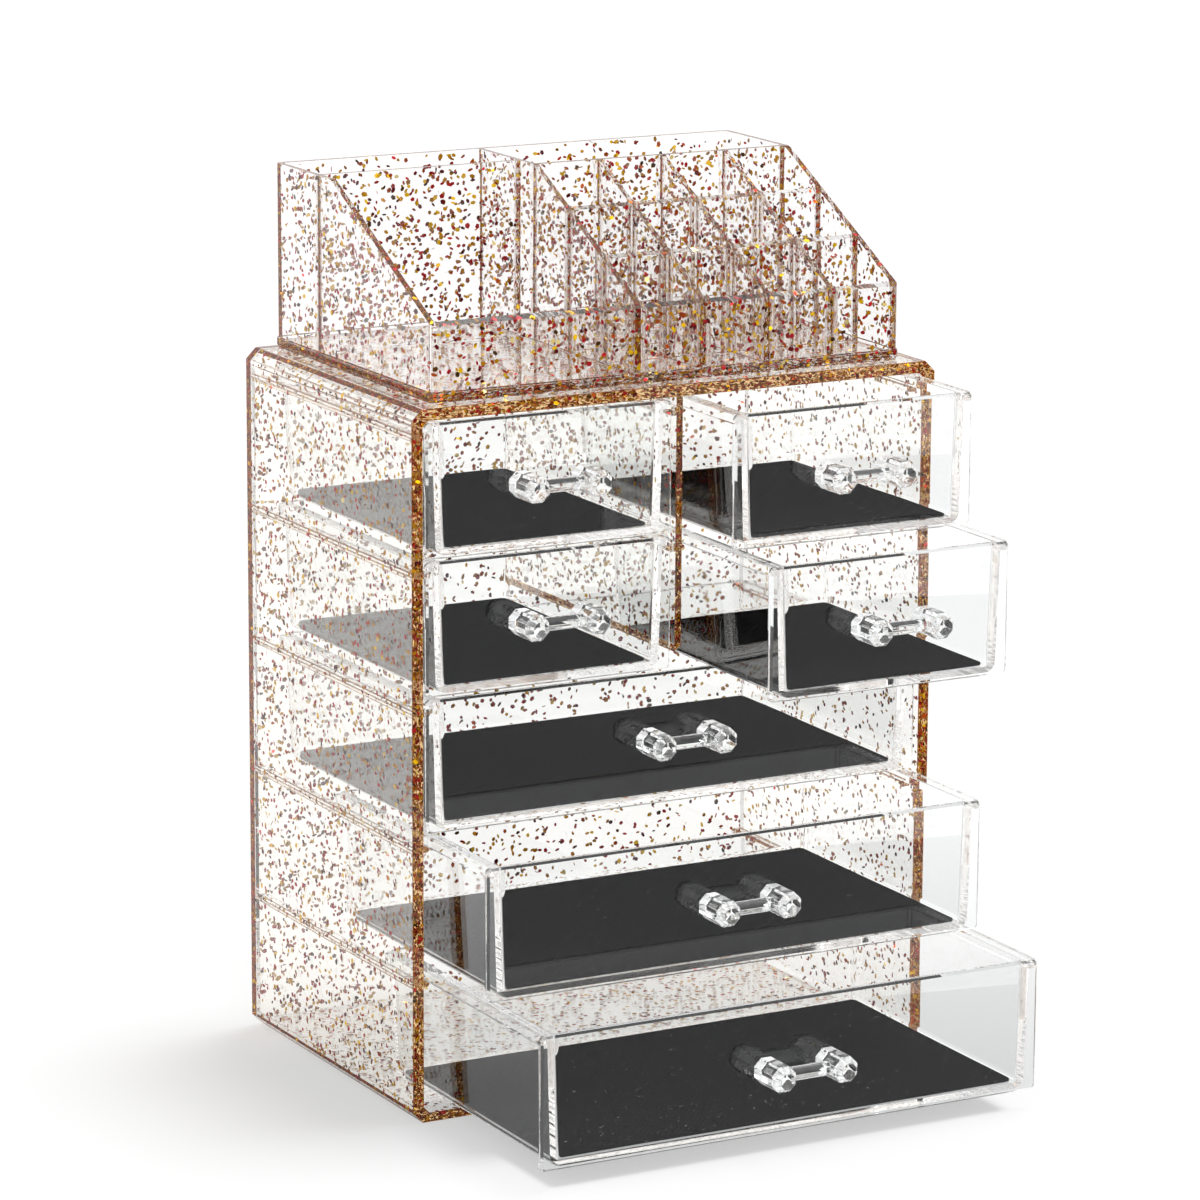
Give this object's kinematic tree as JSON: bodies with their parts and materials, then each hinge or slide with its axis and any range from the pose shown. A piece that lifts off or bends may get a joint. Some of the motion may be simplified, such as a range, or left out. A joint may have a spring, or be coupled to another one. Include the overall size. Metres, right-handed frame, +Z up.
{
  "type": "makeup organizer with drawers",
  "caption": "Clear acrylic desktop makeup organizer: flecked case with small and wide pull-out drawers on side rails, and a loose compartment tray standing on top.",
  "frame": {"origin": "centre of the underside of the case", "axes": "+Z up, the drawers open towards -Y, +X to the right seen from the front"},
  "size_m": [0.24, 0.2688, 0.3687],
  "materials": {
    "flecked_acrylic": "polished clear acrylic with embedded gold, rose and brown flecks",
    "clear_acrylic": "polished clear acrylic",
    "black_liner": "black padded mesh"
  },
  "bodies": {
    "case": {"case_sleeve": "flecked_acrylic", "back_panel": "flecked_acrylic", "centre_divider": "flecked_acrylic"},
    "drawer_1_left": {"drawer_1_left_tub": "clear_acrylic", "drawer_1_left_liner": "black_liner", "drawer_1_left_handle": "clear_acrylic"},
    "drawer_1_right": {"drawer_1_right_tub": "clear_acrylic", "drawer_1_right_liner": "black_liner", "drawer_1_right_handle": "clear_acrylic"},
    "drawer_2_left": {"drawer_2_left_tub": "clear_acrylic", "drawer_2_left_liner": "black_liner", "drawer_2_left_handle": "clear_acrylic"},
    "drawer_2_right": {"drawer_2_right_tub": "clear_acrylic", "drawer_2_right_liner": "black_liner", "drawer_2_right_handle": "clear_acrylic"},
    "drawer_3": {"drawer_3_tub": "clear_acrylic", "drawer_3_liner": "black_liner", "drawer_3_handle": "clear_acrylic"},
    "drawer_4": {"drawer_4_tub": "clear_acrylic", "drawer_4_liner": "black_liner", "drawer_4_handle": "clear_acrylic"},
    "drawer_5": {"drawer_5_tub": "clear_acrylic", "drawer_5_liner": "black_liner", "drawer_5_handle": "clear_acrylic"},
    "top_organiser": {"top_organiser": "flecked_acrylic"}
  },
  "joints": [
    {"name": "drawer_1_left_slide", "type": "slide", "parent": "case", "child": "drawer_1_left", "axis": [0, -1, 0], "range_m": [0, 0.11]},
    {"name": "drawer_1_right_slide", "type": "slide", "parent": "case", "child": "drawer_1_right", "axis": [0, -1, 0], "range_m": [-0.04, 0.07]},
    {"name": "drawer_2_left_slide", "type": "slide", "parent": "case", "child": "drawer_2_left", "axis": [0, -1, 0], "range_m": [0, 0.11]},
    {"name": "drawer_2_right_slide", "type": "slide", "parent": "case", "child": "drawer_2_right", "axis": [0, -1, 0], "range_m": [-0.0695, 0.0405]},
    {"name": "drawer_3_slide", "type": "slide", "parent": "case", "child": "drawer_3", "axis": [0, -1, 0], "range_m": [0, 0.11]},
    {"name": "drawer_4_slide", "type": "slide", "parent": "case", "child": "drawer_4", "axis": [0, -1, 0], "range_m": [-0.0525, 0.0575]},
    {"name": "drawer_5_slide", "type": "slide", "parent": "case", "child": "drawer_5", "axis": [0, -1, 0], "range_m": [-0.0975, 0.0125]},
    {"name": "top_organiser_lift", "type": "slide", "parent": "case", "child": "top_organiser", "axis": [0, 0, 1], "range_m": [0, 0.12]}
  ]
}
